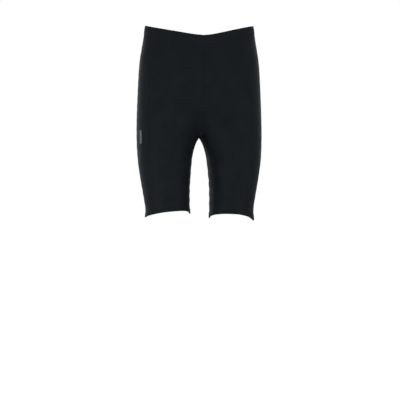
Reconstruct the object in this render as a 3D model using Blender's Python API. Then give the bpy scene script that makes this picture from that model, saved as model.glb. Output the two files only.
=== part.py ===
"""Cycling shorts in stretch jersey, kept in the hollow form they have when worn.

Seven pieces: four leg panels (front and back of each leg), the waistband and the two leg hems.
Millimetres in the tables, metres in the model. +Z is up, the front faces -Y and the wearer's
left is +X. The origin is the middle of the waist opening, level with the waistband at the sides.
"""

import math
from collections import namedtuple

import bmesh
import bpy
import numpy as np

MM = 0.001

# Wall and seam sizes, mm
CLOTH = 1.2
SEAM_GAP = 0.3
BAND_HEIGHT = 27.0
HEM_HEIGHT = 10.0

# Every cross-section is an oval of this exponent: 2 is an ellipse, more is squarer.
SQUARENESS = 2.2
# How far the cloth bridges the hollow between the two halves, from 0 to 1.
BRIDGE = {"front": 0.5, "back": 0.45}

# Mesh density
COLUMNS = 14
RISE_ROWS = 14
LEG_ROWS = 13
RISE_SPACING = 1.7
BAND_STATIONS = 64
HEM_STATIONS = 36

# One row for each level of one half of the garment, mm. outer is the half-width at the side
# seam. inner is the inner side of the leg; above the crotch it is negative, because there the
# ovals of the two halves overlap. middle is where along Y the side seam runs, and front and
# back are the depths from it to the front and back of the garment.
Level = namedtuple("Level", "z outer inner front back middle")
LEVELS = (
    Level(48.0, 152.7, -152.7, 92.0, 92.0, 0.0),
    Level(11.0, 154.3, -154.3, 93.0, 93.0, 0.0),
    Level(-12.0, 157.3, -156.5, 95.5, 96.5, 0.0),
    Level(-49.0, 163.7, -154.5, 100.5, 104.0, 0.5),
    Level(-83.0, 169.3, -150.0, 105.0, 112.0, 1.0),
    Level(-117.0, 172.3, -140.0, 108.5, 120.5, 2.0),
    Level(-151.0, 174.2, -123.5, 110.0, 128.0, 3.0),
    Level(-186.0, 175.9, -101.0, 110.0, 132.5, 4.0),
    Level(-220.0, 177.2, -72.0, 108.5, 133.0, 5.0),
    Level(-254.0, 178.1, -39.0, 105.5, 128.0, 5.0),
    Level(-288.0, 178.5, -11.5, 102.0, 118.0, 5.0),
    Level(-303.5, 178.5, 0.0, 100.0, 112.0, 4.5),
    Level(-314.0, 178.3, 6.6, 98.5, 107.0, 4.0),
    Level(-340.0, 177.4, 16.4, 95.5, 97.5, 3.0),
    Level(-374.0, 174.8, 22.4, 92.0, 90.0, 1.0),
    Level(-408.0, 170.1, 25.4, 88.5, 85.0, 0.0),
    Level(-442.0, 164.6, 27.9, 85.0, 80.5, -1.0),
    Level(-476.0, 158.7, 28.4, 81.5, 76.5, -2.0),
    Level(-502.0, 154.7, 28.2, 79.0, 73.5, -3.0),
    Level(-545.0, 153.7, 28.2, 78.0, 72.0, -3.0),
)
CROTCH_Z = -303.5

# Between the thighs the front draws back: the share of its depth, the level where it draws back
# most, and how far up, down and aside this reaches, mm.
Tuck = namedtuple("Tuck", "share z height width")
TUCK = Tuck(0.18, -303.5, 54.0, 54.0)

# Height of an edge at the side seam, half way across the panel and at its inner end, mm.
Edge = namedtuple("Edge", "side half inner")
WAIST_EDGE = {
    ("left", "front"): Edge(15.5, 1.7, -25.2),
    ("left", "back"): Edge(15.5, 11.5, 2.0),
    ("right", "front"): Edge(12.0, -4.7, -25.2),
    ("right", "back"): Edge(12.0, 10.0, 2.0),
}
# How softly the dips of the waist and the low side of each hem are rounded, as shares of a
# panel.
DIP_ROUNDING = {"front": 0.08, "back": 0.4}
HEM_ROUNDING = 0.3
HEM_EDGE = {
    ("right", "front"): Edge(-528.0, -513.0, -519.6),
    ("right", "back"): Edge(-528.0, -512.0, -519.6),
    ("left", "front"): Edge(-532.5, -521.0, -531.2),
    ("left", "back"): Edge(-532.5, -519.8, -531.2),
}

# Soft creases, mm: from the upper to the lower end as seen from the front or back, x measured
# outward from the middle of the garment. Positive depth is a hollow, negative a ridge.
Crease = namedtuple("Crease", "leg face x_up z_up x_low z_low width depth")
CREASES = (
    Crease("left", "front", 112.0, -348.0, 60.0, -424.0, 13.0, 1.3),
    Crease("left", "front", 34.0, -292.0, 96.0, -262.0, 12.0, 1.2),
    Crease("left", "front", 40.0, -470.0, 92.0, -450.0, 11.0, 0.9),
    Crease("right", "front", 36.0, -288.0, 92.0, -252.0, 12.0, 1.2),
    Crease("right", "front", 52.0, -398.0, 104.0, -366.0, 13.0, 1.0),
    Crease("right", "front", 120.0, -470.0, 74.0, -448.0, 12.0, 0.9),
    Crease("left", "back", 30.0, -300.0, 120.0, -318.0, 14.0, 2.0),
    Crease("left", "back", 46.0, -352.0, 104.0, -338.0, 12.0, 1.1),
    Crease("left", "back", 62.0, -455.0, 118.0, -430.0, 12.0, 1.0),
    Crease("right", "back", 30.0, -302.0, 116.0, -322.0, 14.0, 2.0),
    Crease("right", "back", 50.0, -362.0, 110.0, -346.0, 12.0, 1.1),
    Crease("right", "back", 58.0, -440.0, 112.0, -462.0, 12.0, 1.0),
)

# Puckers where the stretched seams draw the cloth in, mm. start is the level of the first one.
Pucker = namedtuple("Pucker", "leg seam start spacing depth reach")
PUCKERS = (
    Pucker("right", "inner", -350.0, 27.0, 1.3, 26.0),
    Pucker("left", "inner", -346.0, 30.0, 1.4, 26.0),
    Pucker("right", "side", -80.0, 46.0, 0.5, 30.0),
    Pucker("left", "side", -60.0, 49.0, 0.6, 30.0),
)

# Seam ends that flare below the hem, mm.
Tuft = namedtuple("Tuft", "leg seam drop width")
TUFTS = (
    Tuft("right", "side", 3.0, 20.0),
    Tuft("right", "inner", 2.5, 8.0),
    Tuft("left", "side", 8.0, 22.0),
    Tuft("left", "inner", 3.0, 8.0),
)

# Outlines of the waistband and the hem as (height from 0 to 1, distance out from the cloth in mm).
BAND_OUTLINE = (
    (0.0, -1.3),
    (0.0, 0.3),
    (0.22, 1.0),
    (0.78, 1.0),
    (1.0, 0.3),
    (1.0, -1.0),
    (0.8, -1.6),
    (0.2, -1.6),
)
HEM_OUTLINE = (
    (0.0, -1.3),
    (0.0, 0.4),
    (0.4, 0.9),
    (1.0, 0.4),
    (1.0, -1.3),
    (0.5, -1.6),
)

# Length of half of a leg opening, from the side seam to the inner seam, mm
HALF_HEM = 215.0

LEGS = {"left": 1.0, "right": -1.0}
FACES = {"front": -1.0, "back": 1.0}


def smooth_value(name, z):
    """The column called name of LEVELS at height z, read from a smooth curve through its rows."""
    heights = np.array([level.z for level in LEVELS])[::-1]
    values = np.array([getattr(level, name) for level in LEVELS])[::-1]
    slopes = np.gradient(values, heights)
    z = min(max(z, heights[0]), heights[-1])
    row = min(int(np.searchsorted(heights, z, side="right")) - 1, len(heights) - 2)
    step = heights[row + 1] - heights[row]
    t = (z - heights[row]) / step
    return float(
        (2 * t**3 - 3 * t**2 + 1) * values[row]
        + (t**3 - 2 * t**2 + t) * step * slopes[row]
        + (3 * t**2 - 2 * t**3) * values[row + 1]
        + (t**3 - t**2) * step * slopes[row + 1]
    )


def signed_power(value, exponent):
    return math.copysign(abs(value) ** exponent, value)


def oval_depth(place):
    """Depth of a unit oval at a place from -1 to 1 across it, and -1 outside it."""
    if abs(place) >= 1.0:
        return -1.0
    return (1.0 - abs(place) ** SQUARENESS) ** (1.0 / SQUARENESS)


def blended_depth(own, other, centre, bridge):
    """The deeper of two ovals, with the hollow where they meet bridged by stretched cloth."""
    if centre <= 0.0:
        return own
    full_bridge = 4.0 * (1.0 / centre - 1.0)
    width = centre * min(1.0, bridge * full_bridge)
    if width <= 0.0 or own - other >= width:
        return own
    overlap = (width - (own - other)) / width
    return own + overlap**2 * width / 4.0


def tuck_share(x, z):
    """How much of the front's depth the cloth draws back between the thighs."""
    away = ((z - TUCK.z) / TUCK.height) ** 2 + (x / TUCK.width) ** 2
    return TUCK.share * math.exp(-away)


def place_on_cloth(z, across, face):
    """Outer face of one half at height z: (x, y) in mm, across from 0 (side seam) to 1 (inner seam)."""
    outer = smooth_value("outer", z)
    inner = smooth_value("inner", z)
    middle = smooth_value("middle", z)
    depth = smooth_value(face, z)
    half_width = (outer - inner) / 2.0
    centre_x = (outer + inner) / 2.0
    split = max(0.0, centre_x / half_width)
    end = math.pi
    if z > CROTCH_Z and split < 1.0:
        end = math.acos(-(split ** (SQUARENESS / 2.0)))
    rise = min(1.0, max(0.0, 1.0 - z / CROTCH_Z))
    even_end = math.pi / 2.0 * (1.0 + (1.0 - rise) ** 3)
    angle = across * even_end + (end - even_end) * across**4
    place = signed_power(math.cos(angle), 2.0 / SQUARENESS)
    x = centre_x + half_width * place
    own = max(0.0, math.sin(angle)) ** (2.0 / SQUARENESS)
    if z > CROTCH_Z:
        other = oval_depth((-x - centre_x) / half_width)
        own = blended_depth(own, other, oval_depth(split), BRIDGE[face])
    if face == "front":
        own *= 1.0 - tuck_share(x, z)
    return x, middle + FACES[face] * depth * own


def edge_height(edge, across):
    """Height of a slanted edge, on the parabola through its three given heights."""
    side = edge.side * (1.0 - across) * (1.0 - 2.0 * across)
    half = edge.half * 4.0 * across * (1.0 - across)
    inner = edge.inner * across * (2.0 * across - 1.0)
    return side + half + inner


def soft_share(distance, rounding):
    """A share from 0 to 1 that starts softly, so that an edge is round where two panels meet."""
    return (math.hypot(distance, rounding) - rounding) / (math.hypot(1.0, rounding) - rounding)


def no_drop(leg, across):
    return 0.0


def tuft_drop(leg, across):
    """How far the hem hangs lower beside a seam end."""
    drop = 0.0
    for tuft in TUFTS:
        if tuft.leg != leg:
            continue
        near = across if tuft.seam == "side" else 1.0 - across
        drop += tuft.drop * math.exp(-((near * HALF_HEM / tuft.width) ** 2))
    return drop


def waist_height(leg, face, across):
    """Top of the waistband."""
    across = 1.0 - soft_share(1.0 - across, DIP_ROUNDING[face])
    return edge_height(WAIST_EDGE[leg, face], across)


def hem_level(leg, face, across):
    return edge_height(HEM_EDGE[leg, face], soft_share(across, HEM_ROUNDING))


def sink(leg, face, x, z, seam_distance):
    """How deep the creases and puckers draw the cloth in at one point, mm."""
    depth = 0.0
    for crease in CREASES:
        if (crease.leg, crease.face) != (leg, face):
            continue
        run_x = crease.x_low - crease.x_up
        run_z = crease.z_low - crease.z_up
        length = math.hypot(run_x, run_z)
        along = ((x - crease.x_up) * run_x + (z - crease.z_up) * run_z) / length**2
        aside = ((x - crease.x_up) * run_z - (z - crease.z_up) * run_x) / length
        if 0.0 < along < 1.0:
            depth += crease.depth * math.sin(math.pi * along) * math.exp(-((aside / crease.width) ** 2))
    for pucker in PUCKERS:
        if pucker.leg != leg or z > pucker.start:
            continue
        wave = 0.5 - 0.5 * math.cos(2.0 * math.pi * (pucker.start - z) / pucker.spacing)
        fade = math.exp(-((seam_distance[pucker.seam] / pucker.reach) ** 2))
        depth += pucker.depth * wave * fade
    return depth


def panel_rows(leg, face):
    """Heights of every point of a panel, a list for each row from the waistband to the hem."""
    rows = []
    steps = [column / COLUMNS for column in range(COLUMNS + 1)]
    for row in range(RISE_ROWS, 0, -1):
        part = (row / RISE_ROWS) ** RISE_SPACING
        tops = [waist_height(leg, face, across) - BAND_HEIGHT - SEAM_GAP for across in steps]
        rows.append([CROTCH_Z + (top - CROTCH_Z) * part for top in tops])
    for row in range(LEG_ROWS + 1):
        part = row / LEG_ROWS
        ends = [hem_level(leg, face, across) + HEM_HEIGHT + SEAM_GAP for across in steps]
        rows.append([CROTCH_Z + (end - CROTCH_Z) * part for end in ends])
    return rows


def wall_normals(points):
    """Unit vectors out of the cloth, from the faces round each point of the grid."""
    across = np.gradient(points, axis=1)
    down = np.gradient(points, axis=0)
    normals = np.cross(across, down)
    lengths = np.linalg.norm(normals, axis=2, keepdims=True)
    return normals / np.maximum(lengths, 1e-9)


def square_to_seams(normals):
    """At its seams a wall stands square to the plane in which the two panels meet."""
    normals[:, 0, 1] = 0.0
    normals[:RISE_ROWS, -1, 0] = 0.0
    normals[RISE_ROWS:, -1, 1] = 0.0
    normals[RISE_ROWS, -1] = (0.0, 0.0, -1.0)
    lengths = np.linalg.norm(normals, axis=2, keepdims=True)
    return normals / lengths


def keep_seam_gap(points, face):
    """Moves the seam edges of a panel half of the gap away from the plane of the seam."""
    half_gap = SEAM_GAP / 2.0
    for row in range(points.shape[0]):
        side_z = points[row, 0, 2]
        points[row, 0, 1] = smooth_value("middle", side_z) + FACES[face] * half_gap
        if row <= RISE_ROWS:
            points[row, -1, 0] = half_gap
        if row >= RISE_ROWS:
            inner_z = points[row, -1, 2]
            points[row, -1, 1] = smooth_value("middle", inner_z) + FACES[face] * half_gap
    return points


def panel_grids(leg, face):
    """Outer and inner points of a panel on the +X half, mm."""
    rows = panel_rows(leg, face)
    points = np.zeros((len(rows), COLUMNS + 1, 3))
    for row, heights in enumerate(rows):
        for column, z in enumerate(heights):
            x, y = place_on_cloth(z, column / COLUMNS, face)
            points[row, column] = (x, y, z)
    normals = square_to_seams(wall_normals(points) * -FACES[face])
    arcs = np.cumsum(np.linalg.norm(np.diff(points, axis=1), axis=2), axis=1)
    arcs = np.concatenate([np.zeros((len(rows), 1)), arcs], axis=1)
    for row in range(len(rows)):
        for column in range(COLUMNS + 1):
            x, _, z = points[row, column]
            below = row > RISE_ROWS
            inner = arcs[row, -1] - arcs[row, column] if below else 1000.0
            distance = {"side": arcs[row, column], "inner": inner}
            points[row, column] -= normals[row, column] * sink(leg, face, x, z, distance)
    outer = keep_seam_gap(points.copy(), face)
    inner = keep_seam_gap(points - normals * CLOTH, face)
    return outer, inner


def shell_mesh(name, outer, inner, mirror):
    """A closed wall between two grids of the same size."""
    rows, columns, _ = outer.shape
    size = np.array([mirror * MM, MM, MM])
    mesh = bmesh.new()
    layers = []
    for grid in (outer, inner):
        layers.append([[mesh.verts.new(point * size) for point in row] for row in grid])
    front, back = layers
    for row in range(rows - 1):
        for column in range(columns - 1):
            corners = ((row, column), (row + 1, column), (row + 1, column + 1), (row, column + 1))
            mesh.faces.new([front[r][c] for r, c in corners])
            mesh.faces.new([back[r][c] for r, c in reversed(corners)])
    border = [(0, column) for column in range(columns)]
    border += [(row, columns - 1) for row in range(1, rows)]
    border += [(rows - 1, column) for column in range(columns - 2, -1, -1)]
    border += [(row, 0) for row in range(rows - 2, 0, -1)]
    for (row, column), (next_row, next_column) in zip(border, border[1:] + border[:1]):
        mesh.faces.new(
            [
                front[row][column],
                front[next_row][next_column],
                back[next_row][next_column],
                back[row][column],
            ]
        )
    return finish_mesh(name, mesh)


def finish_mesh(name, mesh):
    bmesh.ops.recalc_face_normals(mesh, faces=mesh.faces)
    data = bpy.data.meshes.new(name)
    mesh.to_mesh(data)
    mesh.free()
    data.shade_smooth()
    data.set_sharp_from_angle(angle=math.radians(50.0))
    return data


def ring_stations(route, count):
    """Evenly spaced places along a closed route of (leg, face, start, end) stretches."""
    stations = []
    each = count // len(route)
    for leg, face, start, end in route:
        for step in range(each):
            stations.append((leg, face, start + (end - start) * step / each))
    return stations


def ring_mesh(name, route, count, bottom, height, outline, drop):
    """A closed band of the given outline round the opening that route describes."""
    stations = ring_stations(route, count)
    loops = []
    for up, out in outline:
        loop = []
        for leg, face, across in stations:
            z = bottom(leg, face, across) + up * height
            x, y = place_on_cloth(z, across, face)
            loop.append((LEGS[leg] * x, y, z - (1.0 - up) * drop(leg, across)))
        loop = np.array(loop)
        tangent = np.roll(loop, -1, axis=0) - np.roll(loop, 1, axis=0)
        outward = np.stack([tangent[:, 1], -tangent[:, 0], np.zeros(len(loop))], axis=1)
        outward /= np.linalg.norm(outward, axis=1, keepdims=True)
        from_centre = loop[:, :2] - loop[:, :2].mean(axis=0)
        if (outward[:, :2] * from_centre).sum() < 0.0:
            outward = -outward
        loops.append(loop + outward * out)
    mesh = bmesh.new()
    rings = [[mesh.verts.new(point * MM) for point in loop] for loop in loops]
    total = len(stations)
    for index, ring in enumerate(rings):
        following = rings[(index + 1) % len(rings)]
        for step in range(total):
            ahead = (step + 1) % total
            mesh.faces.new([ring[step], ring[ahead], following[ahead], following[step]])
    return finish_mesh(name, mesh)


def cloth_material(name, roughness, colour):
    material = bpy.data.materials.new(name)
    material.use_nodes = True
    shader = material.node_tree.nodes["Principled BSDF"]
    shader.inputs["Base Color"].default_value = (*colour, 1.0)
    shader.inputs["Roughness"].default_value = roughness
    shader.inputs["Metallic"].default_value = 0.0
    return material


def add_piece(name, data, material):
    piece = bpy.data.objects.new(name, data)
    data.materials.append(material)
    bpy.context.scene.collection.objects.link(piece)
    return piece


def make_panels():
    for leg, mirror in LEGS.items():
        for face in FACES:
            name = f"{face}_{leg}"
            outer, inner = panel_grids(leg, face)
            jersey = cloth_material(f"jersey_{name}", 0.62, (0.011, 0.013, 0.015))
            add_piece(name, shell_mesh(name, outer, inner, mirror), jersey)


def make_waistband():
    route = (
        ("left", "front", 0.0, 1.0),
        ("right", "front", 1.0, 0.0),
        ("right", "back", 0.0, 1.0),
        ("left", "back", 1.0, 0.0),
    )

    def bottom(leg, face, across):
        return waist_height(leg, face, across) - BAND_HEIGHT

    data = ring_mesh("waistband", route, BAND_STATIONS, bottom, BAND_HEIGHT, BAND_OUTLINE, no_drop)
    add_piece("waistband", data, cloth_material("elastic_casing", 0.66, (0.012, 0.014, 0.016)))


def make_hems():
    for leg in LEGS:
        route = ((leg, "front", 0.0, 1.0), (leg, "back", 1.0, 0.0))
        data = ring_mesh(
            f"hem_{leg}", route, HEM_STATIONS, hem_level, HEM_HEIGHT, HEM_OUTLINE, tuft_drop
        )
        turned = cloth_material(f"turned_hem_{leg}", 0.64, (0.011, 0.013, 0.015))
        add_piece(f"hem_{leg}", data, turned)


def main():
    for old in list(bpy.data.objects):
        bpy.data.objects.remove(old, do_unlink=True)
    make_panels()
    make_waistband()
    make_hems()


main()
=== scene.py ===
# %% [markdown]
# # Cycling shorts in black stretch jersey
#
# The shorts are seven pieces of stretch cloth on an invisible wearer: four leg panels, a
# waistband with elastic in it and two turned hems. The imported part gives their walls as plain
# solids. This script dresses each wall with fine cloth, seams, stitches and light. All sizes in
# the tables are millimetres, and everything is built in the part's own frame: Z up, front at -Y,
# the wearer's left at +X.

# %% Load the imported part
import math
from collections import namedtuple

import bpy
import numpy as np
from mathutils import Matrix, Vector, noise


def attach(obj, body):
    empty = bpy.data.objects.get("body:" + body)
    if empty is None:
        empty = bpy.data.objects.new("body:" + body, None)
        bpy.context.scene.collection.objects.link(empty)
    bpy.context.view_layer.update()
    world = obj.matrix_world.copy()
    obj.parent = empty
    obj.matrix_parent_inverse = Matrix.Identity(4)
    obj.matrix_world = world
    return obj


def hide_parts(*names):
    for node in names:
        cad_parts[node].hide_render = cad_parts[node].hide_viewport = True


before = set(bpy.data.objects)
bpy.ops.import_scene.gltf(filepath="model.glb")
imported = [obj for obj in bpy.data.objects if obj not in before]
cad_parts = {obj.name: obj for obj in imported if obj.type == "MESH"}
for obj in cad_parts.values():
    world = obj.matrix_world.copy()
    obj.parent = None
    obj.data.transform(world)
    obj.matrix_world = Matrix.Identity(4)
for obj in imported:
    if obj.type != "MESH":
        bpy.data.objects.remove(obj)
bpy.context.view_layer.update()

MM = 0.001
scene = bpy.context.scene

# %% [markdown]
# ## Camera
#
# A product camera stands a few metres away with a long lens, level, a little above the hems. That
# height decides how much of the hems' and waist's curve shows. It stands a few degrees towards
# the wearer's right, so the centre seam shows right of the middle and more of that side shows. The focal length
# follows from the distance and from how many millimetres one pixel of the picture covers.

# %% Camera
PICTURE = 400.0
PIXEL = 2.85 * MM
DISTANCE = 3.2
EYE_HEIGHT = -0.482
EYE_ASIDE = 0.0018
EYE_TURN = math.radians(-7.0)


def add_camera():
    data = bpy.data.cameras.new("camera")
    data.sensor_fit = "HORIZONTAL"
    data.sensor_width = 36.0
    data.lens = data.sensor_width * DISTANCE / (PICTURE * PIXEL)
    camera = bpy.data.objects.new("camera", data)
    ahead = Vector((-math.sin(EYE_TURN), math.cos(EYE_TURN), 0.0))
    right = Vector((math.cos(EYE_TURN), math.sin(EYE_TURN), 0.0))
    camera.location = right * EYE_ASIDE - ahead * DISTANCE + Vector((0.0, 0.0, EYE_HEIGHT))
    camera.rotation_euler = (math.radians(90.0), 0.0, EYE_TURN)
    scene.collection.objects.link(camera)
    scene.camera = camera
    print(f"camera lens {data.lens:.1f} mm")


add_camera()

# %% [markdown]
# ## The worn form
#
# Stretch cloth takes the form of the body under it, so the form is one smooth surface that all
# panels share. It is cut into levels. At each level one half of the garment is an oval, and
# above the crotch the ovals of the two halves overlap and the cloth bridges the hollow between
# them. `inner` is negative there. These are the part's own levels, so the fine cloth lies
# exactly on its walls.

# %% Levels of the body
SQUARENESS = 2.2
BRIDGE = {"front": 0.5, "back": 0.45}
CROTCH_Z = -303.5
Tuck = namedtuple("Tuck", "share z height width")
TUCK = Tuck(0.18, -303.5, 54.0, 54.0)

Level = namedtuple("Level", "z outer inner front back middle")
LEVELS = (
    Level(48.0, 152.7, -152.7, 92.0, 92.0, 0.0),
    Level(11.0, 154.3, -154.3, 93.0, 93.0, 0.0),
    Level(-12.0, 157.3, -156.5, 95.5, 96.5, 0.0),
    Level(-49.0, 163.7, -154.5, 100.5, 104.0, 0.5),
    Level(-83.0, 169.3, -150.0, 105.0, 112.0, 1.0),
    Level(-117.0, 172.3, -140.0, 108.5, 120.5, 2.0),
    Level(-151.0, 174.2, -123.5, 110.0, 128.0, 3.0),
    Level(-186.0, 175.9, -101.0, 110.0, 132.5, 4.0),
    Level(-220.0, 177.2, -72.0, 108.5, 133.0, 5.0),
    Level(-254.0, 178.1, -39.0, 105.5, 128.0, 5.0),
    Level(-288.0, 178.5, -11.5, 102.0, 118.0, 5.0),
    Level(-303.5, 178.5, 0.0, 100.0, 112.0, 4.5),
    Level(-314.0, 178.3, 6.6, 98.5, 107.0, 4.0),
    Level(-340.0, 177.4, 16.4, 95.5, 97.5, 3.0),
    Level(-374.0, 174.8, 22.4, 92.0, 90.0, 1.0),
    Level(-408.0, 170.1, 25.4, 88.5, 85.0, 0.0),
    Level(-442.0, 164.6, 27.9, 85.0, 80.5, -1.0),
    Level(-476.0, 158.7, 28.4, 81.5, 76.5, -2.0),
    Level(-502.0, 154.7, 28.2, 79.0, 73.5, -3.0),
    Level(-545.0, 153.7, 28.2, 78.0, 72.0, -3.0),
)
LEVEL_Z = np.array([level.z for level in LEVELS])[::-1]
LEGS = {"left": 1.0, "right": -1.0}
FACES = {"front": -1.0, "back": 1.0}


def level_value(name, z):
    """A column of LEVELS at heights z, on a smooth curve through its rows."""
    values = np.array([getattr(level, name) for level in LEVELS])[::-1]
    slopes = np.gradient(values, LEVEL_Z)
    z = np.clip(z, LEVEL_Z[0], LEVEL_Z[-1])
    row = np.clip(np.searchsorted(LEVEL_Z, z, side="right") - 1, 0, len(LEVELS) - 2)
    step = LEVEL_Z[row + 1] - LEVEL_Z[row]
    t = (z - LEVEL_Z[row]) / step
    start = (2 * t**3 - 3 * t**2 + 1) * values[row] + (t**3 - 2 * t**2 + t) * step * slopes[row]
    end = (3 * t**2 - 2 * t**3) * values[row + 1] + (t**3 - t**2) * step * slopes[row + 1]
    return start + end


def oval_depth(place):
    """Depth of a unit oval at a place from -1 to 1 across it, and -1 outside it."""
    inside = np.clip(1.0 - np.abs(place) ** SQUARENESS, 0.0, 1.0) ** (1.0 / SQUARENESS)
    return np.where(np.abs(place) < 1.0, inside, -1.0)


def bridged(own, other, centre, bridge):
    """The deeper of two ovals, with the hollow where they meet bridged by the cloth."""
    centre = np.maximum(centre, 1e-6)
    width = centre * np.clip(bridge * 4.0 * (1.0 / centre - 1.0), 0.0, 1.0)
    overlap = np.clip((width - (own - other)) / np.maximum(width, 1e-9), 0.0, None)
    return own + np.where(width > 1e-6, overlap**2 * width / 4.0, 0.0)


def smooth_form(z, across, face):
    """Points (x outward, y, z) of the bare form; across runs from 0, side seam, to 1, inner seam."""
    outer, inner, middle = (level_value(name, z) for name in ("outer", "inner", "middle"))
    half_width = (outer - inner) / 2.0
    centre_x = (outer + inner) / 2.0
    split = np.maximum(centre_x / half_width, 0.0)
    rise_zone = (z > CROTCH_Z) & (split < 1.0)
    bounded = np.minimum(split, 1.0)
    end = np.where(rise_zone, np.arccos(-(bounded ** (SQUARENESS / 2.0))), math.pi)
    rise = np.clip(1.0 - z / CROTCH_Z, 0.0, 1.0)
    even_end = math.pi / 2.0 * (1.0 + (1.0 - rise) ** 3)
    angle = across * even_end + (end - even_end) * across**4
    cosine = np.cos(angle)
    x = centre_x + half_width * np.sign(cosine) * np.abs(cosine) ** (2.0 / SQUARENESS)
    own = np.maximum(np.sin(angle), 0.0) ** (2.0 / SQUARENESS)
    other = oval_depth((-x - centre_x) / half_width)
    own = np.where(rise_zone, bridged(own, other, oval_depth(bounded), BRIDGE[face]), own)
    if face == "front":
        away = ((z - TUCK.z) / TUCK.height) ** 2 + (x / TUCK.width) ** 2
        own = own * (1.0 - TUCK.share * np.exp(-away))
    return np.stack([x, middle + FACES[face] * level_value(face, z) * own, z], axis=-1)


print(f"{len(LEVELS)} levels from {LEVELS[0].z} to {LEVELS[-1].z} mm")

# %% [markdown]
# ## Edges and ease
#
# The waist dips at the front to a soft point on the centre seam, and the hems rise at the front
# and back of each thigh. Where a seam ends at a hem, its extra layers pull the hem down and out in
# a small tuft.

# %% Waist and hem edges
BAND_HEIGHT = 27.0
HEM_HEIGHT = 10.0
SEAM_GAP = 0.3
HALF_HEM = 215.0
Edge = namedtuple("Edge", "side half inner")
WAIST_EDGE = {
    ("left", "front"): Edge(15.5, 1.7, -25.2),
    ("left", "back"): Edge(15.5, 11.5, 2.0),
    ("right", "front"): Edge(12.0, -4.7, -25.2),
    ("right", "back"): Edge(12.0, 10.0, 2.0),
}
DIP_ROUNDING = {"front": 0.08, "back": 0.4}
HEM_ROUNDING = 0.3
HEM_EDGE = {
    ("right", "front"): Edge(-528.0, -513.0, -519.6),
    ("right", "back"): Edge(-528.0, -512.0, -519.6),
    ("left", "front"): Edge(-532.5, -521.0, -531.2),
    ("left", "back"): Edge(-532.5, -519.8, -531.2),
}
Tuft = namedtuple("Tuft", "leg seam drop width flare")
TUFTS = (
    Tuft("right", "side", 3.0, 20.0, 1.2),
    Tuft("right", "inner", 2.5, 8.0, 0.8),
    Tuft("left", "side", 8.0, 22.0, 1.8),
    Tuft("left", "inner", 3.0, 8.0, 0.8),
)


def edge_height(edge, across):
    side = edge.side * (1.0 - across) * (1.0 - 2.0 * across)
    half = edge.half * 4.0 * across * (1.0 - across)
    return side + half + edge.inner * across * (2.0 * across - 1.0)


def soft_share(distance, rounding):
    """A share from 0 to 1 that starts softly, so that an edge is round where two panels meet."""
    return (np.hypot(distance, rounding) - rounding) / (math.hypot(1.0, rounding) - rounding)


def waist_height(leg, face, across):
    across = 1.0 - soft_share(1.0 - across, DIP_ROUNDING[face])
    return edge_height(WAIST_EDGE[leg, face], across)


def hem_height(leg, face, across):
    return edge_height(HEM_EDGE[leg, face], soft_share(across, HEM_ROUNDING))


def tuft_share(leg, across, size):
    """How much a size (drop or flare) of the tufts counts at places across a leg opening."""
    total = np.zeros_like(across)
    for tuft in TUFTS:
        if tuft.leg == leg:
            near = across if tuft.seam == "side" else 1.0 - across
            total += getattr(tuft, size) * np.exp(-((near * HALF_HEM / tuft.width) ** 2))
    return total
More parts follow.
